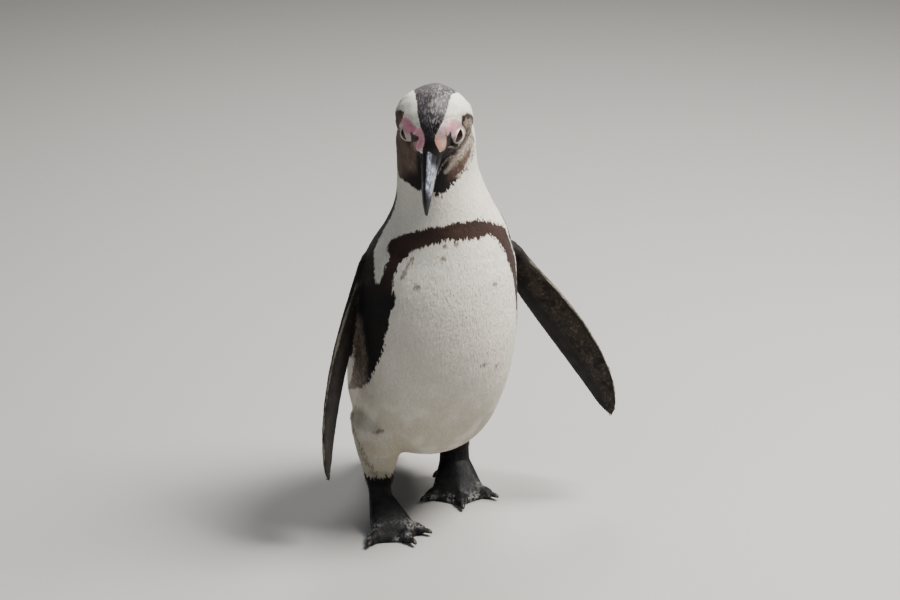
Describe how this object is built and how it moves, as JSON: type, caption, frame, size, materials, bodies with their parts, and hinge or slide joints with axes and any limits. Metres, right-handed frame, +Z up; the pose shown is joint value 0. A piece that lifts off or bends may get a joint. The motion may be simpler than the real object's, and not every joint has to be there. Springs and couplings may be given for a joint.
{
  "type": "african penguin",
  "caption": "Still, life-size walking penguin with bowed, turned head, slightly spread flippers, short stiff tail and webbed feet flat on the floor.",
  "frame": {"origin": "on the floor, under the middle of the bounding box", "axes": "+Z up, the bird walks towards -Y, its left side is +X"},
  "size_m": [0.3068, 0.2324, 0.4567],
  "materials": {
    "white_plumage": "soft dense white feathers",
    "black_plumage": "soft dense brown-black feathers",
    "foot_skin": "black scaly skin, dusty on the toes",
    "bill_horn": "black horn, satin",
    "eye": "dark brown, wet gloss"
  },
  "bodies": {
    "root": {"trunk": "white_plumage", "neck": "white_plumage", "head": "black_plumage", "tail": "black_plumage", "wing_left": "black_plumage", "wing_right": "black_plumage", "leg_left": "white_plumage", "leg_right": "white_plumage", "foot_left": "foot_skin", "foot_right": "foot_skin", "bill_upper": "bill_horn", "bill_lower": "bill_horn", "eye_left": "eye", "eye_right": "eye", "claw_inner_left": "bill_horn", "claw_middle_left": "bill_horn", "claw_outer_left": "bill_horn", "claw_inner_right": "bill_horn", "claw_middle_right": "bill_horn", "claw_outer_right": "bill_horn"}
  },
  "joints": []
}
